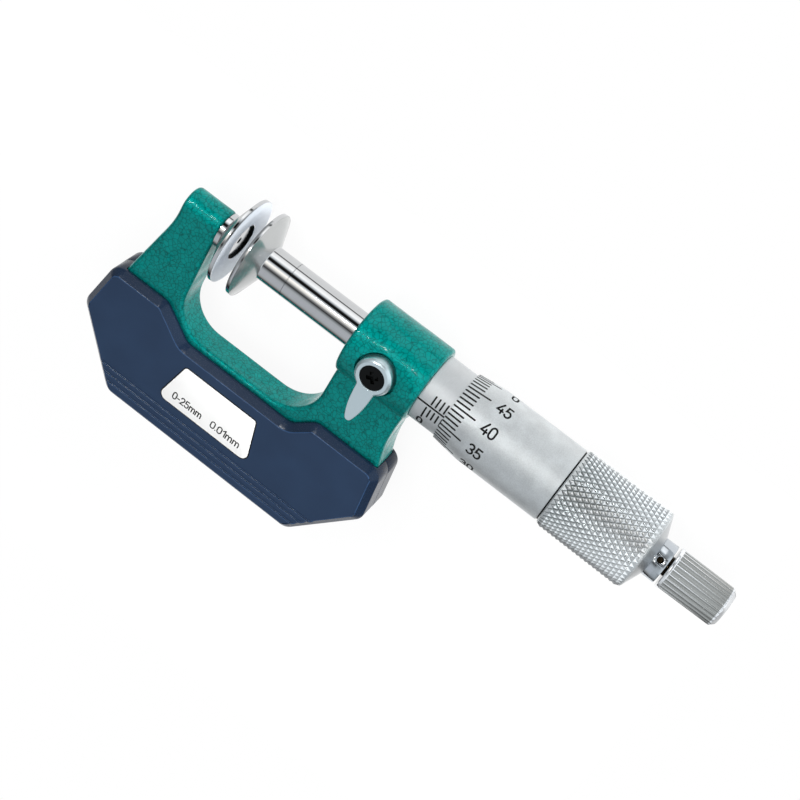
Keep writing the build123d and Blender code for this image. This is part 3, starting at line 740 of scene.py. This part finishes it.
def studio_floor():
    """Pale floor: white to the camera and in reflections but for a share that keeps its shadows."""
    bm = bmesh.new()
    xs, ys = zip(TABLE_LOW, TABLE_HIGH)
    bm.faces.new([bm.verts.new((xs[i], ys[j], TABLE_Z)) for i, j in ((0, 0), (1, 0), (1, 1), (0, 1))])
    mesh = bpy.data.meshes.new("studio_floor")
    bm.to_mesh(mesh)
    bm.free()
    floor = bpy.data.objects.new("studio_floor", mesh)
    bpy.context.scene.collection.objects.link(floor)
    material, tree, shader = new_material("studio_floor")
    shader.inputs["Base Color"].default_value = (1, 1, 1, 1)
    shader.inputs["Roughness"].default_value = 0.9
    path = add(tree, "LightPath").outputs
    seen = calc(tree, "MAXIMUM", path["Is Camera Ray"], path["Is Glossy Ray"])
    seen = calc(tree, "MAXIMUM", seen, path["Is Transmission Ray"])
    share = calc(tree, "MULTIPLY", seen, FLOOR_GLOW)
    glow = add(tree, "Emission", {"Color": (1, 1, 1, 1), "Strength": 1.0}).outputs["Emission"]
    mix = add(tree, "MixShader", {0: share, 1: shader.outputs["BSDF"], 2: glow}).outputs["Shader"]
    tree.links.new(mix, tree.nodes["Material Output"].inputs["Surface"])
    mesh.materials.append(material)


studio_floor()

# What the metals show: soft boxes with dark gaps between them, as (angle about the spindle from the
# open side over the front, level, tint). FAR stands towards the discs' end and NEAR towards the
# knob's, and RIGHT and LEFT are what steep facets see past either end.
NEUTRAL, COOL, WARM, LILAC = (1.0, 1.0, 1.0), (0.94, 0.99, 1.03), (1.04, 1.0, 0.94), (0.96, 0.98, 1.05)
FAR_BANDS = [
    (-180, 0.02, NEUTRAL), (-150, 0.02, NEUTRAL), (-120, 1.0, NEUTRAL), (-29, 1.0, NEUTRAL),
    (-26, 0.05, NEUTRAL), (-22, 0.1, NEUTRAL), (-17, 1.2, NEUTRAL), (-8, 1.4, NEUTRAL),
    (6, 1.6, NEUTRAL), (16, 0.8, COOL), (24, 0.02, NEUTRAL), (38, 0.0, NEUTRAL),
    (46, 1.0, COOL), (54, 1.5, WARM), (57, 1.8, WARM), (60, 1.4, WARM), (66, 1.2, WARM),
    (75, 0.4, NEUTRAL), (86, 0.03, NEUTRAL), (96, 0.35, COOL), (106, 0.62, COOL),
    (126, 0.65, LILAC), (146, 0.62, COOL), (156, 0.48, NEUTRAL), (166, 0.24, NEUTRAL),
    (176, 0.02, NEUTRAL),
]
NEAR_BANDS = [
    (-180, 0.1, NEUTRAL), (-120, 0.2, COOL), (-60, 0.5, COOL), (-4, 0.57, COOL), (36, 0.14, NEUTRAL),
    (56, 0.07, NEUTRAL), (96, 0.6, COOL), (130, 0.6, COOL), (156, 0.45, COOL), (180, 0.05, NEUTRAL),
]
RIGHT_BANDS = [
    (-180, 0.3, NEUTRAL), (-140, 0.55, NEUTRAL), (-30, 0.8, NEUTRAL), (0, 1.05, COOL), (30, 1.05, COOL),
    (60, 0.9, COOL), (110, 0.9, COOL), (135, 0.2, COOL), (180, 0.2, NEUTRAL),
]
LEFT_BANDS = [
    (-180, 0.2, NEUTRAL), (-140, 0.5, NEUTRAL), (-60, 0.5, NEUTRAL), (-30, 0.4, COOL), (20, 0.32, COOL),
    (60, 0.4, COOL), (110, 0.38, COOL), (135, 0.12, COOL), (180, 0.2, NEUTRAL),
]
# The strength over which a band's colours are spread.
TOP_LEVEL = 2.4

world = bpy.data.worlds.new("studio")
bpy.context.scene.world = world
world.use_nodes = True
sky = world.node_tree
sky.nodes.clear()
along = coordinate(sky, "Generated", "X")
angle = calc(sky, "ARCTAN2", coordinate(sky, "Generated", "Z"), coordinate(sky, "Generated", "Y"))
turn = spread_over(sky, angle, 0.0, 1.0, -math.pi, math.pi)


def glow(color, strength):
    return add(sky, "Background", {"Color": color, "Strength": strength}).outputs["Background"]


def boxes(bands):
    """Light of the bands, by the ray's angle about the spindle."""
    return glow(ramp(sky, turn, [
        ((degrees + 180) / 360, tuple(level * c / TOP_LEVEL for c in tint)) for degrees, level, tint in bands
    ]), TOP_LEVEL)


def blend(factor, first, second):
    return add(sky, "MixShader", {0: factor, 1: first, 2: second}).outputs["Shader"]


near = spread_over(sky, along, 0.0, 1.0, -0.03, 0.05)
right = spread_over(sky, along, 0.0, 1.0, 0.28, 0.42)
left = spread_over(sky, along, 0.0, 1.0, -0.32, -0.46)
fill = glow((0.97, 0.98, 1.0, 1), 0.4)
white = glow((1, 1, 1, 1), 1.0)
path = add(sky, "LightPath").outputs
room = blend(near, boxes(FAR_BANDS), boxes(NEAR_BANDS))
room = blend(right, blend(left, room, boxes(LEFT_BANDS)), boxes(RIGHT_BANDS))
shine = blend(path["Is Glossy Ray"], fill, room)
add(sky, "OutputWorld", {"Surface": blend(path["Is Camera Ray"], shine, white)})


def softbox(name, position, size, power, glossy):
    """Area lamp aimed at the tool's middle. Places and sizes in metres, power in watts."""
    data = bpy.data.lights.new(name, "AREA")
    data.shape = "RECTANGLE"
    data.size, data.size_y = size
    data.energy = power
    lamp = bpy.data.objects.new(name, data)
    lamp.location = position
    lamp.rotation_mode = "QUATERNION"
    lamp.rotation_quaternion = (-Vector(position)).to_track_quat("-Z", "Y")
    lamp.visible_glossy = glossy
    bpy.context.scene.collection.objects.link(lamp)


softbox("key", (0.05, 0.1, 0.7), (0.6, 0.6), 3.2, False)
softbox("side", (0.42, 0.45, 0.12), (0.4, 0.2), 5.0, False)
softbox("glint_arm", (-0.195, 0.3, 0.405), (0.04, 0.05), 0.36, True)
softbox("glint_boss", (-0.1, 0.303, 0.405), (0.025, 0.03), 0.15, True)

bpy.context.scene.view_settings.view_transform = "Standard"
